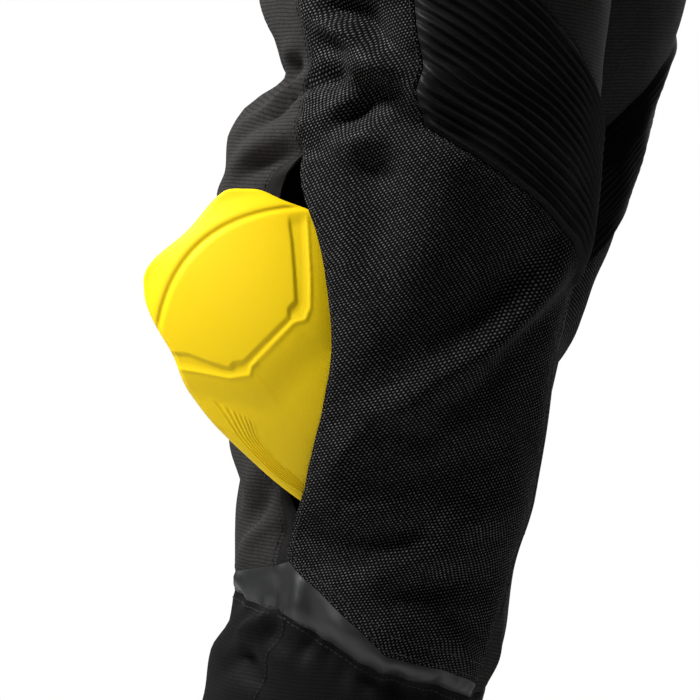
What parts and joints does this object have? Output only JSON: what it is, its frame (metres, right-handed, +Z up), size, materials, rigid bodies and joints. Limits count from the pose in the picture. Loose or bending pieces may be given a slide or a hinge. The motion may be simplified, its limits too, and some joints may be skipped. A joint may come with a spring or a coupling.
{
  "type": "motorcycle trousers",
  "caption": "Motorcycle trousers in a striding pose with ribbed stretch panels above the knees and a foam knee pad half out of its side pocket.",
  "frame": {"origin": "middle of the waist opening, where the wearer's waist holds the trousers up", "axes": "+Z up, the wearer faces -Y, the wearer's left is +X"},
  "size_m": [0.415, 0.3965, 1.0538],
  "materials": {
    "canvas": "fine ribbed canvas, dark grey brown, matt",
    "coarse_weave": "coarse basket weave, black, glossy yarns",
    "stretch": "ribbed stretch cloth, black, matt",
    "satin": "smooth coated cloth, dark grey, satin",
    "tape": "narrow binding tape, matt",
    "foam": "moulded foam, yellow, fine matt grain",
    "metal": "dark nickel"
  },
  "bodies": {
    "root": {"waistband_right": "canvas", "waistband_left": "canvas", "waist_tab": "canvas", "waist_snap": "metal", "fly_flap": "canvas", "front_thigh_right": "canvas", "front_thigh_left": "canvas", "knee_accordion_right": "stretch", "knee_accordion_left": "stretch", "knee_panel_right": "coarse_weave", "knee_panel_left": "coarse_weave", "inner_leg_right": "canvas", "inner_leg_left": "canvas", "back_leg_right": "canvas", "back_leg_left": "canvas", "pocket_facing_right": "tape", "pocket_facing_left": "tape", "calf_band_right": "satin", "calf_band_left": "satin", "lower_front_right": "canvas", "lower_front_left": "canvas", "lower_back_right": "canvas", "lower_back_left": "canvas", "knee_pad": "foam"}
  },
  "joints": []
}
